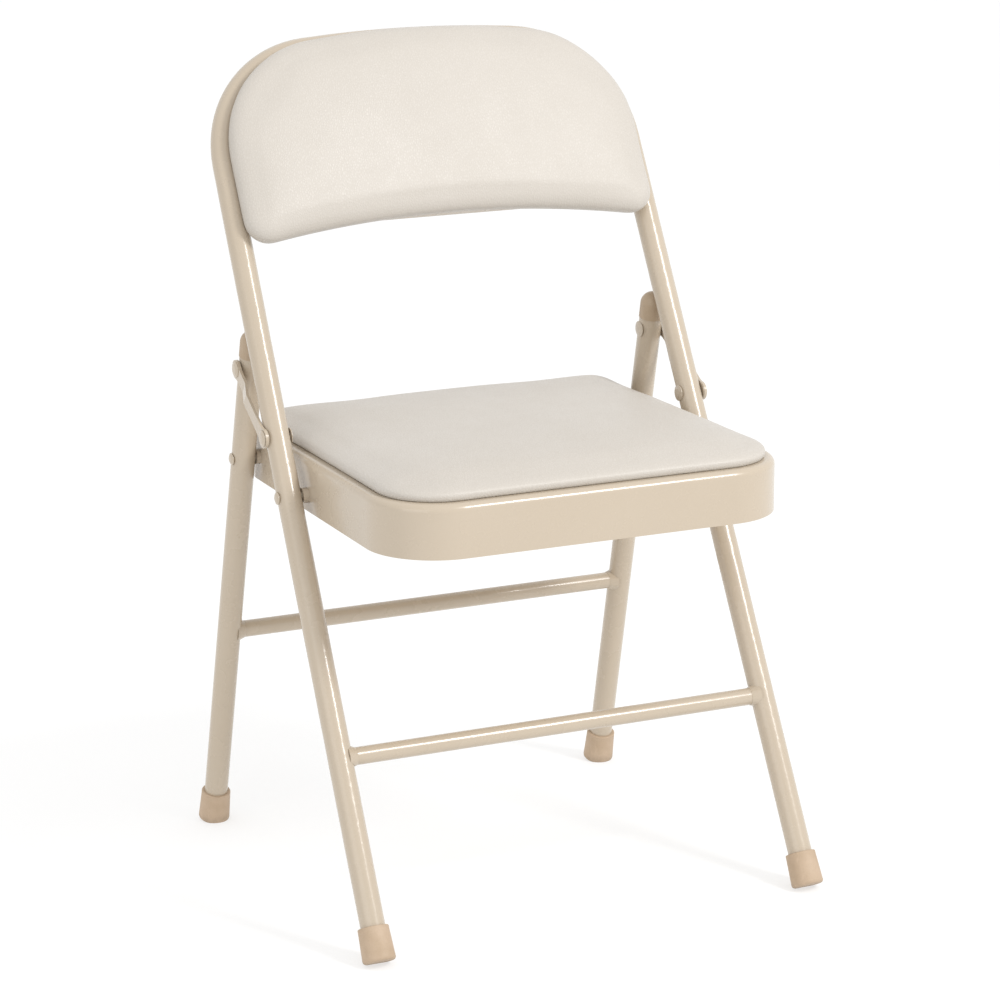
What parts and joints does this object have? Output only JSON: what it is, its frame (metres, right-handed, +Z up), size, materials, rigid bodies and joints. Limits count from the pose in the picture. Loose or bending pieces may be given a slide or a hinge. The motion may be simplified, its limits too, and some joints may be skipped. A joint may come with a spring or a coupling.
{
  "type": "folding chair",
  "caption": "Folding chair with a bent tube front frame, padded seat in a steel pan, curved padded back and rear legs joined by side straps.",
  "frame": {"origin": "centre of the bounding box on the floor", "axes": "+Z up, the chair faces -Y, +X to the right of a viewer who looks at the chair's front"},
  "size_m": [0.4574, 0.4419, 0.7633],
  "materials": {
    "frame_paint": "semi-gloss beige enamel over steel",
    "vinyl": "off-white vinyl cover with fine grain, over foam",
    "foot_rubber": "matte tan rubber",
    "cap_plastic": "moulded tan plastic",
    "plywood": "unfinished plywood",
    "screw_steel": "zinc plated"
  },
  "bodies": {
    "front_frame": {"front_frame_tube": "frame_paint", "front_crossbar": "frame_paint", "front_crossbar_welds": "frame_paint", "front_foot_left": "foot_rubber", "front_foot_right": "foot_rubber", "back_panel": "frame_paint", "back_board": "plywood", "back_pad": "vinyl", "back_screws": "screw_steel", "strap_pivot_rivets": "frame_paint", "strap_pivot_washers": "frame_paint"},
    "seat": {"seat_pan": "frame_paint", "seat_board": "plywood", "seat_cushion": "vinyl", "seat_screws": "screw_steel", "seat_brace": "frame_paint", "seat_pivot_rivets": "frame_paint", "seat_pivot_spacers": "frame_paint", "rear_pivot_rivets": "frame_paint", "rear_pivot_spacers": "frame_paint"},
    "rear_legs": {"rear_leg_left": "frame_paint", "rear_leg_right": "frame_paint", "rear_crossbar": "frame_paint", "rear_crossbar_welds": "frame_paint", "rear_foot_left": "foot_rubber", "rear_foot_right": "foot_rubber", "rear_leg_cap_left": "cap_plastic", "rear_leg_cap_right": "cap_plastic", "strap_studs": "frame_paint"},
    "link_left": {"link_strap_left": "frame_paint", "link_head_left": "frame_paint"},
    "link_right": {"link_strap_right": "frame_paint", "link_head_right": "frame_paint"}
  },
  "joints": [
    {"name": "seat_fold", "type": "hinge", "parent": "front_frame", "child": "seat", "pos_m": [0, -0.00578, 0.37216], "axis": [-1, 0, 0], "range_deg": [0, 110.66]},
    {"name": "rear_leg_fold", "type": "hinge", "parent": "seat", "child": "rear_legs", "pos_m": [0, 0.11609, 0.38068], "axis": [1, 0, 0], "range_deg": [0, 68.46]},
    {"name": "strap_fold_left", "type": "hinge", "parent": "front_frame", "child": "link_left", "pos_m": [0, 0.02129, 0.42119], "axis": [-1, 0, 0], "range_deg": [0, 135.28]},
    {"name": "strap_fold_right", "type": "hinge", "parent": "front_frame", "child": "link_right", "pos_m": [0, 0.02129, 0.42119], "axis": [-1, 0, 0], "range_deg": [0, 135.28]}
  ],
  "couplings": [
    {"joint": "rear_leg_fold", "follows": "seat_fold", "ratio": 0.61867},
    {"joint": "strap_fold_left", "follows": "seat_fold", "ratio": 1.2224},
    {"joint": "strap_fold_right", "follows": "seat_fold", "ratio": 1.2224}
  ]
}
